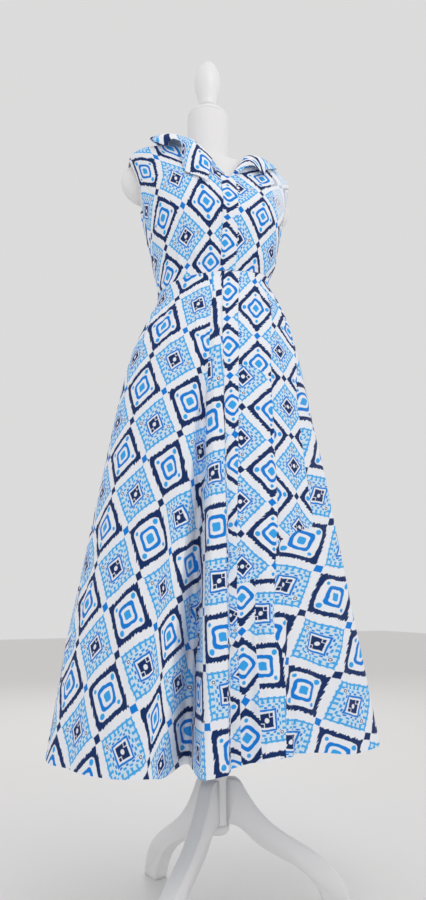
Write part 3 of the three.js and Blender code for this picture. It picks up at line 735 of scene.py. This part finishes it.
satinPaint = makeSatinPaint(brushMarks)
jerseyCover = makeJersey(wales)
print("materials made")


# the columns of the fronts' grids are closer together by the folds: up to the share "split" of
# them runs to a line that starts and ends at these angles, or lies this far from the placket
rightColumns = {"split": 0.45, "top": -118, "low": -123, "lowZ": 240}
leftColumns = {"split": 0.4, "fromEdge": 24}


def skirtRightAngles(s, z):
    split = rightColumns["split"]
    down = (waist["z"] - z) / (waist["z"] - rightColumns["lowZ"])
    valley = blend(rightColumns["top"], rightColumns["low"], down)
    early = blend(-180.0, valley, s / split)
    late = blend(valley, meetAngle(z) - slitTurn, (s - split) / (1 - split))
    return np.where(s < split, early, late)


def skirtLeftAngles(s, z):
    split = leftColumns["split"]
    middle = placketEdge(z) + leftColumns["fromEdge"]
    early = blend(meetAngle(z) + slitTurn, middle, s / split)
    late = blend(middle, 0.0, (s - split) / (1 - split))
    return np.where(s < split, early, late)


def skirtBackAngles(s, z):
    return 180.0 * s + 0 * z


def bodiceLeftAngles(s, z):
    inner = np.where(z > neck["vZ"], neckX(z), neck["vX"])
    return -blend(angleAt(inner + clothGap / 2, z), armholeCut(z, armhole["front"]), s)


def bodiceRightAngles(s, z):
    inner = np.where(z > neck["vZ"], neckX(z), -neck["vX"])
    return blend(armholeCut(z, armhole["front"]), angleAt(inner + clothGap / 2, z), s) - 180


def bodiceBackAngles(s, z):
    cut = armholeCut(z, armhole["back"])
    return blend(cut, 180 - cut, s)


bandWalk = {"far": 40, "step": 0.1}         # degrees


def placketSkirtAngles(s, z):
    # the band's part on the right front is measured on the cloth, over the ridge beside it
    meet = meetAngle(z)
    fine = meet - np.arange(0, bandWalk["far"], bandWalk["step"])[None, :]
    walked = skirtPoint(fine, z + 0 * fine)
    arc = np.cumsum(np.linalg.norm(np.diff(walked, axis=1), axis=-1), axis=1)
    arc = np.concatenate([np.zeros((len(arc), 1)), arc], 1)
    distance = band["width"] - band["lap"] - s[0] * band["width"]
    angles = np.empty((len(z), s.shape[1]))
    for row in range(len(z)):
        beside = np.interp(distance.clip(0), arc[row], fine[row])
        lapped = blend(meet[row, 0], placketEdge(z[row, 0]), -distance / band["lap"])
        angles[row] = np.where(distance > 0, beside, lapped)
    return angles


def placketBodiceAngles(s, z):
    right = neck["vX"] + band["lap"]
    return -angleAt(blend(right - band["width"], right, s), z)


# the skirt's laid-over folds, from the top down as height and angle
foldLines = {
    "frontLap": [(1198, -50), (1114, -56.3), (1030, -68.1), (943, -72.8), (895, -74.3), (820, -76),
                 (743, -77.5), (668, -80.3), (597, -83.1), (529, -85.6), (470, -86.9),
                 (439, -83.7), (369, -84.9), (284, -86.2)],
    "sideLap": [(1198, -22), (1042, -37.2), (921, -51.8), (837, -54.4), (753, -56), (679, -56.3),
                (666, -57.7), (650, -70.6), (627, -79.7), (614, -82.6)],
    "stripTurn": [(570, -91.1), (545, -91.2), (464, -92.4), (404, -92.3), (316, -92.8), (284, -93)],
    "ridgeTurn": [(1198, -106), (910, -110), (830, -109.8), (755, -110.1), (682, -110.3),
                  (546, -111.3), (464, -111.9), (384, -113), (284, -112.8)],
}
tucks = {       # short folds across the front strip, as angle and height
    "high": [(-91.5, 973), (-82, 965), (-72.6, 947)],
    "low": [(-96.8, 563), (-91.1, 565), (-84.8, 579)],
}


def lineAt(line, z):
    steps = sorted(foldLines[line])
    return np.interp(z, [step[0] for step in steps], [step[1] for step in steps])


def tuckAt(line, angle):
    return np.interp(angle, [step[0] for step in tucks[line]], [step[1] for step in tucks[line]])


def leftRegions(angle, z):
    # 0 the side, 1 between the laps, 2 3 the front strip above and below its high tuck, 4 5 the
    # narrow strips under its low tuck
    inFront = angle < lineAt("frontLap", z)
    sideLapEnds = foldLines["sideLap"][-1][0]
    region = np.where(~inFront & (angle < lineAt("sideLap", z)) & (z > sideLapEnds), 1, 0)
    region = np.where(inFront, np.where(z > tuckAt("high", angle), 2, 3), region)
    low = inFront & (z < tuckAt("low", angle))
    return np.where(low, np.where(angle < lineAt("stripTurn", z), 4, 5), region)


# the left armhole's edge shows the cloth's wrong side, with no fold in the cloth's shape: that
# part's edge as height and angle, and how fast its lower end climbs to the side, in mm for each
# degree
turnedEdge = [(1331, -36), (1361, -44.5), (1389, -48.7), (1414, -53), (1443, -55.5), (1460, -52),
              (1484, -40)]
turnClimb = 3


def armholeTurn(angle, z):
    # where the cloth's wrong side shows
    edge = np.interp(z, [step[0] for step in turnedEdge], [step[1] for step in turnedEdge])
    lowZ, lowAngle = turnedEdge[0]
    return (angle > edge) & (z > lowZ + turnClimb * (angle - lowAngle).clip(0))


def rightRegions(angle, z):
    return np.where(angle > lineAt("ridgeTurn", z), 1, 0)


def crease(start, end, out, wide, bow=0):
    return {"line": (start, end), "out": out, "wide": wide, "bow": bow}


# creases, given one by one: from angle and height to angle and height, or along one of the folds
# above; how far they stand out, their width as one number or one on each side of the crest, and
# how far they bow, in mm
leftCreases = [
    {"path": foldLines["frontLap"], "out": 3.6, "wide": (17, 2.0), "fade": 90},
    {"path": foldLines["sideLap"], "out": 3.0, "wide": (20, 2.2), "fade": 60},
    {"path": foldLines["stripTurn"], "out": 2.6, "wide": (7, 1.8), "fade": 60},
    crease((-97, 562), (-84, 580), 2.2, (2, 7)),
    crease((-92, 974), (-71, 944), 2.2, (2, 8), -4),
    crease((-60, 1192), (-68, 1090), 2.4, (6, 4)),
    crease((-50, 1194), (-55, 1075), -2.4, 5),
    crease((-36, 1194), (-45, 1040), 2.8, (7, 5), 3),
    crease((-22, 1194), (-30, 1060), -2.6, 6),
    crease((-10, 1190), (-15, 1020), 2.6, 7),
    crease((-74, 1190), (-79, 1010), -1.6, 5),
    crease((-46, 1010), (-60, 700), -2.2, 12, 5),
    crease((-30, 900), (-40, 470), 3.6, (18, 11), -6),
    crease((-18, 1000), (-24, 420), -3.6, 16, 7),
    crease((-52, 620), (-58, 250), 4.4, (17, 11), 4),
    crease((-66, 560), (-72, 250), -4.2, 14, -4),
    crease((-79, 470), (-80, 250), 2.4, (10, 7)),
    crease((-8, 760), (-10, 260), 3.8, 17, 5),
]
rightCreases = [
    {"path": [(910, -119.6), (840, -121), (485, -122.6), (424, -121.4), (365, -120.2),
              (284, -119.3)], "out": 4.2, "wide": (15, 5), "fade": 120},
    crease((-110, 1192), (-111, 930), -2.2, 5, 2),
    crease((-118, 1194), (-116, 1000), 2.4, (7, 4)),
    crease((-127, 1194), (-123, 1070), -1.8, 5),
    crease((-139, 1192), (-132, 960), 2.6, 8, -3),
    crease((-150, 1190), (-143, 1020), -2.4, 7),
    crease((-162, 1188), (-157, 990), 2.4, 8, 3),
    crease((-172, 1188), (-170, 1060), -2, 6),
    crease((-131, 880), (-128, 520), -2.6, 13, 5),
    crease((-146, 900), (-150, 420), -3.6, 17, -8),
    crease((-157, 860), (-163, 330), 4, (18, 13), 6),
    crease((-170, 800), (-174, 290), -3.6, 15, 4),
    crease((-133, 560), (-131, 250), 4.2, (16, 10), 4),
    crease((-142, 500), (-144, 250), -3.8, 13),
]
backCreases = [
    crease((14, 1190), (18, 1010), 2.6, 7, 3),
    crease((28, 1192), (33, 1050), -2.4, 6),
    crease((46, 1190), (49, 960), 2.6, (8, 5)),
    crease((63, 1192), (61, 1060), -2.2, 6),
    crease((79, 1190), (76, 980), 2.4, 7, -3),
    crease((98, 1192), (101, 1030), -2.4, 6),
    crease((117, 1190), (115, 990), 2.6, (5, 8)),
    crease((138, 1192), (143, 1050), -2.2, 7),
    crease((160, 1190), (158, 1000), 2.4, 8),
    crease((12, 780), (10, 260), -3.6, 15, 6),
    crease((35, 820), (31, 330), 3.6, (17, 10), -7),
    crease((55, 700), (55, 250), -3.8, 13, 4),
    crease((77, 900), (79, 420), 3.4, 14, 8),
    crease((99, 650), (98, 250), -4.2, 15),
    crease((121, 840), (125, 360), 3.8, (12, 17), -6),
    crease((144, 720), (146, 250), -3.6, 14, 5),
    crease((168, 860), (167, 300), 3.6, 16, -5),
]
bodiceRightCreases = [
    crease((-152, 1362), (-159, 1262), -1.8, 1.7, 3),
    crease((-133, 1330), (-148, 1204), -2, 1.8, -3),
    crease((-141, 1256), (-136, 1196), 2.2, (4, 3)),
    crease((-129, 1268), (-127, 1196), -2, 3.4),
    crease((-121, 1262), (-120, 1196), 2.3, (4, 3), 1),
    crease((-112, 1250), (-113, 1196), -1.7, 3.2),
    crease((-104, 1246), (-106, 1196), 1.7, 3.4),
    crease((-101, 1262), (-130, 1222), -1.6, 4.5, -2),
    crease((-96, 1392), (-142, 1330), -1.8, 9, 5),
    crease((-108, 1430), (-150, 1408), 1.6, 9, -4),
    crease((-171, 1410), (-152, 1340), -2, 8),
    crease((-166, 1250), (-150, 1215), 1.8, 5),
    crease((-174, 1300), (-158, 1240), -1.8, 6),
]
bodiceLeftCreases = [
    crease((-82, 1262), (-66, 1234), -1.8, 4, 2),
    crease((-82, 1226), (-50, 1206), 1.6, 4),
    crease((-66, 1262), (-62, 1196), 2, (3, 4)),
    crease((-55, 1252), (-52, 1196), -1.8, 3.4),
    crease((-45, 1272), (-42, 1196), 2, 4, 2),
    crease((-50, 1340), (-36, 1210), -1.8, 1.8, 3),
    crease((-79, 1400), (-52, 1350), 1.7, 9, 4),
    crease((-70, 1436), (-48, 1412), -1.7, 9),
    crease((-14, 1380), (-32, 1300), -2.2, 7),
    crease((-10, 1290), (-24, 1220), 1.8, 6),
]
bodiceBackCreases = [
    crease((52, 1370), (60, 1204), -1.8, 1.8, -3),
    crease((127, 1368), (121, 1204), -1.8, 1.8, 3),
    crease((74, 1256), (72, 1196), 2, 4),
    crease((88, 1262), (90, 1196), -1.8, 4),
    crease((103, 1250), (105, 1196), 2, 4),
    crease((40, 1276), (30, 1214), 2, 6),
    crease((144, 1272), (152, 1210), -2, 6),
    crease((62, 1452), (118, 1440), -1.8, 11, 5),
    crease((58, 1408), (122, 1398), 1.6, 12, -6),
]


def collarPoints(s, across):
    left = collarPoint(1, np.clip(s * 2, 0, 1), across)
    right = collarPoint(-1, np.clip(2 - s * 2, 0, 1), across)
    return np.where(s[..., None] < 0.5, left, right)


# each panel: the grid's columns and rows, the flat size in metres and its area, and where it was
# cut from the bolt, by region
skirtPanel = {"low": hem["z"], "high": waist["z"] - clothGap / 2, "surface": skirtPoint,
              "reach": 220, "flare": "down"}
bodicePanel = {"low": waist["z"] + clothGap / 2, "high": shoulderTop, "surface": bodicePoint,
               "reach": 140, "flare": "up"}
onBias = {"u": (0, 70.7, -70.7, 0, 0, 0), "v": (0, 70.7, 70.7, 0, 0, 0)}      # turned 45 degrees
skirtFrontRight = {
    **skirtPanel, "name": "skirtFrontRight", "node": "skirt_front_right", "grid": (190, 220),
    "angles": skirtRightAngles, "size": (0.57, 0.94), "area": 0.335,
    "bolt": [
        {"from": 0.3, "radius": 390, "u": (348.7, 101.9, 43.27, 4.869, 1.647, -0.547),
         "v": (529.8, -42.59, 71.65, 5.587, 1.779, -0.01),
         "into": {"between": (-128, -119), "below": 860, "from": 0.5, "radius": 390,
                  "u": (392.6, 72.34, 31.5, -2.229, 2.132, -0.58),
                  "v": (500, -59.51, 65.2, 1.078, -4.851, -1.673)}},
        {"from": 0.98, "radius": 2000, "u": (110, 83.41, 7.34, 0.167, -2.413, 0.206),
         "v": (607.5, -15.71, 62.28, 0.85, -2.295, -2.173)},
    ],
    "regions": rightRegions, "creases": rightCreases,
}
skirtFrontLeft = {
    **skirtPanel, "name": "skirtFrontLeft", "node": "skirt_front_left", "grid": (190, 220),
    "angles": skirtLeftAngles, "size": (0.52, 0.95), "area": 0.342,
    "bolt": [
        {"from": 0.6, "radius": 390, "u": (-254.7, 43.99, -41.21, -0.224, -1.361, 0.31),
         "v": (783.9, -22.01, 83.13, -2.678, -4.74, -0.239),
         "into": {"between": (-40, -23), "from": 0.72, "radius": 500,
                  "u": (-257.1, 87.5, -48.4, 0, 0, 0), "v": (799.1, 48.4, 87.5, 0, 0, 0)}},
        {"from": 0.4, "radius": 800, "u": (-259.6, 71.12, -59.07, 0, -0.052, 1.24),
         "v": (253.1, 71.18, 73.42, -0.025, 0.76, 0.368)},
        {"from": 0.18, "radius": 2000, "u": (-30.42, 67.25, -56.34, 0, 0.149, 2.457),
         "v": (74.79, 73.45, 42.32, -0.023, -0.326, -4.558)},
        {"from": 0.2, "radius": 2000, "u": (-288, 49.81, -67.7, 0.291, -2.548, 0.529),
         "v": (278.9, 69.9, 46.24, -0.121, -1.459, -2.176)},
        {"from": 0, "radius": 2000, "u": (-535.6, 72.43, -90.32, 0, 0.259, -0.945),
         "v": (437.7, 70.38, 49.23, 0, 0.29, -1.789)},
        {"from": 0.12, "radius": 2000, "u": (-108.8, 99.41, -33.61, 0, -0.047, -2.007),
         "v": (773.8, 2.13, 87.51, 0, -0.018, -0.832)},
    ],
    "regions": leftRegions, "creases": leftCreases,
}
skirtBack = {
    **skirtPanel, "name": "skirtBack", "node": "skirt_back", "grid": (230, 170),
    "angles": skirtBackAngles, "size": (0.93, 0.97), "area": 0.624,
    "bolt": [{"from": 0.5, "radius": 390, **onBias}],
    "creases": backCreases,
}
placketSkirt = {
    **skirtPanel, "name": "placketSkirt", "node": "placket_skirt", "grid": (24, 220),
    "high": waist["z"] - band["seamClear"], "angles": placketSkirtAngles,
    "lift": clothThick + clothGap, "size": (0.034, 0.922), "area": 0.0288,
    "restsOn": ["skirtFrontRight", "skirtFrontLeft"],
    "bolt": [{"from": 0.5, "radius": 9000, "u": (-68.65, 73.13, -56.02, 0, 0.068, 0.978),
              "v": (158.4, 68.11, 52.99, -0.012, 0.222, -3.362)}],
}
bodiceFrontRight = {
    **bodicePanel, "name": "bodiceFrontRight", "node": "bodice_front_right", "grid": (110, 150),
    "angles": bodiceRightAngles, "size": (0.23, 0.42), "area": 0.072,
    "bolt": [{"from": 0.7, "radius": 500, "u": (-72.04, 87.86, 66.71, 13.6, -9.957, -0.763),
              "v": (-40.46, -81.33, 81.46, 17.65, -7.37, -9.83)}],
    "creases": bodiceRightCreases,
}
bodiceFrontLeft = {
    **bodicePanel, "name": "bodiceFrontLeft", "node": "bodice_front_left", "grid": (110, 150),
    "angles": bodiceLeftAngles, "size": (0.225, 0.39), "area": 0.0655,
    "bolt": [{"from": 0.3, "radius": 500, "u": (-26.33, 98.26, 51.14, 12.57, -17.05, 5.724),
              "v": (-40.31, -83.32, 62.7, -3.722, 0.784, 1.597)}],
    "creases": bodiceLeftCreases, "wrongSide": armholeTurn,
}
bodiceBack = {
    **bodicePanel, "name": "bodiceBack", "node": "bodice_back", "grid": (130, 140),
    "surface": backPoint, "angles": bodiceBackAngles, "size": (0.44, 0.37), "area": 0.1245,
    "bolt": [{"from": 0.5, "radius": 500, **onBias}],
    "creases": bodiceBackCreases,
}
placketBodice = {
    **bodicePanel, "name": "placketBodice", "node": "placket_bodice", "grid": (24, 90),
    "low": waist["z"] + band["seamClear"], "high": neck["vZ"] - band["underV"],
    "angles": placketBodiceAngles, "lift": clothThick + clothGap,
    "size": (0.033, 0.217), "area": 0.007, "restsOn": ["bodiceFrontRight", "bodiceFrontLeft"],
    "bolt": [{"from": 0.5, "radius": 9000, "u": (90.34, 67.14, -79.77, 0, 0, 0),
              "v": (8.95, 74.13, 73.33, 0, 0, 0)}],
}
collar = {
    "name": "foldedCollar", "node": "collar", "grid": (260, 44), "leaf": collarPoints,
    "flare": "down", "size": (0.76, 0.2), "area": 0.05,
    "restsOn": ["bodiceFrontRight", "bodiceFrontLeft", "bodiceBack"],
    "bolt": [{"from": 0.95, "radius": 170, "u": (44.3, 97.6, 21.7, 0, 0, 0),
              "v": (83.3, -21.7, 97.6, 0, 0, 0),
              "into": {"between": (0.55, 0.4), "from": 0.05, "radius": 170,
                       "u": (20, 90, -43, 0, 0, 0), "v": (10, 43, 90, 0, 0, 0)}}],
}
for plan in (skirtFrontRight, skirtFrontLeft, skirtBack, placketSkirt, bodiceFrontRight,
             bodiceFrontLeft, bodiceBack, placketBodice, collar):
    clothPanel(plan)


weldUnder = 0.00002         # metres


# the stand's turned and sawn pieces keep the solids' shapes, with their faces smoothed
def smoothCopy(node, name, material):
    bpy.ops.object.select_all(action="DESELECT")
    node.select_set(True)
    bpy.context.view_layer.objects.active = node
    bpy.ops.object.duplicate()
    piece = bpy.context.object
    piece.name = name
    piece.data.name = name
    bpy.ops.object.transform_apply(location=True, rotation=True, scale=True)
    bpy.ops.object.mode_set(mode="EDIT")
    bpy.ops.mesh.select_all(action="SELECT")
    bpy.ops.mesh.remove_doubles(threshold=weldUnder)
    bpy.ops.mesh.normals_make_consistent(inside=False)
    bpy.ops.object.mode_set(mode="OBJECT")
    bpy.ops.object.shade_smooth_by_angle(angle=math.radians(smoothUnder["wood"]))
    piece.data.materials.clear()
    piece.data.materials.append(material)
    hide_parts(node.name)
    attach(piece, "root")
    return piece


standPieces = {
    "form_neck_cap": "neckCap", "form_knob": "turnedKnob", "stand_pole": "standPole",
    "stand_pole_cap": "poleCap", "stand_leg_1": "standLegA", "stand_leg_2": "standLegB",
    "stand_leg_3": "standLegC",
}
for node, name in standPieces.items():
    wood = smoothCopy(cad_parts[node], name, satinPaint)


torsoGrid = (120, 150)      # sides and levels
capRings = (48, 24)


def addTorso():
    sides, levels = torsoGrid
    torso = gridPiece("coveredTorso", sides, levels)
    turn = np.linspace(-180, 180, sides + 1)[None, :]
    z = np.linspace(torsoRows[0]["z"], torsoRows[-1]["z"], levels + 1)[:, None]
    points = torsoPoint(turn + 0 * z, z + 0 * turn)
    torso.data.vertices.foreach_set("co", (points.reshape(-1, 3) / 1000).ravel())
    torso.data.update()
    bpy.ops.object.mode_set(mode="EDIT")
    bpy.ops.mesh.select_all(action="SELECT")
    bpy.ops.mesh.remove_doubles(threshold=weldUnder)
    bpy.ops.mesh.select_all(action="DESELECT")
    bpy.ops.mesh.select_non_manifold()      # the open top and bottom
    bpy.ops.mesh.edge_face_add()
    bpy.ops.mesh.select_all(action="SELECT")
    bpy.ops.mesh.normals_make_consistent(inside=False)
    bpy.ops.object.mode_set(mode="OBJECT")
    caps = []
    for side in (1, -1):
        spot = [side * shoulderCap["x"] / 1000, shoulderCap["y"] / 1000, shoulderCap["z"] / 1000]
        size = [radius / 1000 for radius in shoulderCap["radii"]]
        bpy.ops.mesh.primitive_uv_sphere_add(segments=capRings[0], ring_count=capRings[1],
                                             radius=1, location=spot, scale=size)
        bpy.ops.object.transform_apply(location=True, rotation=True, scale=True)
        caps.append(bpy.context.object)
    bpy.ops.object.select_all(action="DESELECT")
    for part in (*caps, torso):
        part.select_set(True)
    bpy.context.view_layer.objects.active = torso
    bpy.ops.object.join()
    torso.data.materials.clear()
    torso.data.materials.append(jerseyCover)
    bpy.ops.object.shade_smooth_by_angle(angle=math.radians(smoothUnder["jersey"]))
    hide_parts("form_torso")
    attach(torso, "root")


addTorso()
print("form and stand made")

studio = {"floorSize": 14, "floorAt": (0, 3, 0), "world": "#F3F2F2", "worldStrength": 0.8}
# matt painted board: pale and even
paintedBoard = {"Base Color": fromHex("#E4E3E2"), "Roughness": 0.6}
bpy.ops.object.select_all(action="DESELECT")
bpy.ops.mesh.primitive_plane_add(size=studio["floorSize"], location=studio["floorAt"])
floor = bpy.context.object
floor.name = "studioFloor"
floor.data.materials.append(newMaterial("paleFloor", paintedBoard)[0])

world = bpy.data.worlds.new("paleRoom")
bpy.context.scene.world = world
world.use_nodes = True
backdrop = world.node_tree.nodes["Background"]
backdrop.inputs["Color"].default_value = fromHex(studio["world"])
backdrop.inputs["Strength"].default_value = studio["worldStrength"]


def addSoftbox(lamp):
    bpy.ops.object.light_add(type="AREA", location=lamp["spot"])
    light = bpy.context.object
    light.name = lamp["name"]
    light.data.size = lamp["size"]
    light.data.energy = lamp["power"]
    ahead = Vector(lamp["aim"]) - Vector(lamp["spot"])
    light.rotation_euler = ahead.to_track_quat("-Z", "Y").to_euler()


softboxes = [
    {"name": "softboxRight", "spot": (2.3, -1.9, 2.0), "aim": (0, 0, 0.9), "size": 1.2, "power": 8},
    {"name": "softboxLeft", "spot": (-2.4, -1.9, 1.6), "aim": (0, 0, 0.9), "size": 1.6, "power": 7},
    {"name": "softboxTop", "spot": (0.2, -1.6, 2.7), "aim": (0, 0, 1.1), "size": 1.2, "power": 8},
    {"name": "softboxBehind", "spot": (0.6, 2.6, 2.4), "aim": (0, 0, 1), "size": 1.8, "power": 20},
]
for lamp in softboxes:
    addSoftbox(lamp)
bpy.context.scene.view_settings.view_transform = "Standard"
print("studio lit")
